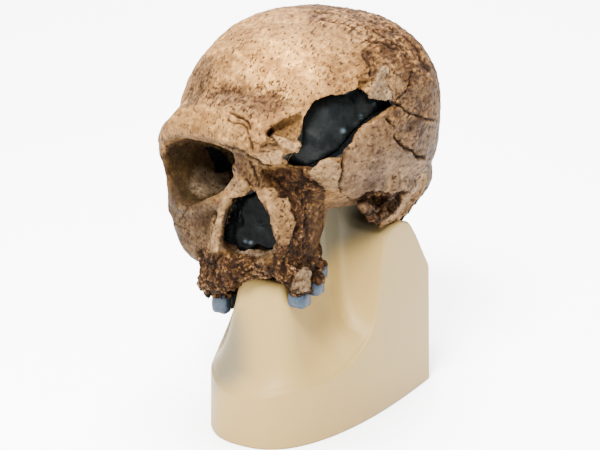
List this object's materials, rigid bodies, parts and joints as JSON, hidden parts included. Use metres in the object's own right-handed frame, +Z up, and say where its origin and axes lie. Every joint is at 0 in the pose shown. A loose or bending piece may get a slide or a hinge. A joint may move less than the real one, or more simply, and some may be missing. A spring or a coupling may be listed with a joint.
{
  "type": "fossil skull cast on plinth",
  "caption": "Still life-size cast of a fossil human cranium with a heavy brow, a broken left temple and blue teeth, resting on a moulded cream plinth",
  "frame": {"origin": "centre of the plinth's underside, on the floor", "axes": "+X the skull's left, -Y the way the face looks, +Z up"},
  "size_m": [0.1293, 0.1886, 0.2364],
  "materials": {
    "bone": "mottled tan cast bone, matte",
    "bone_rough": "rough brown cast bone, matte",
    "black": "glossy black filler",
    "tooth": "blue-grey satin",
    "plinth": "smooth cream, satin"
  },
  "bodies": {
    "root": {"frontal_bone": "bone", "parietal_left": "bone", "parietal_right": "bone", "occipital_bone": "bone", "temporal_left": "bone", "temporal_right": "bone", "sphenoid_base": "bone", "cheekbone_right": "bone", "upper_jaw": "bone_rough", "black_temple_backing": "black", "black_nose_backing": "black", "plinth": "plinth"}
  },
  "joints": []
}
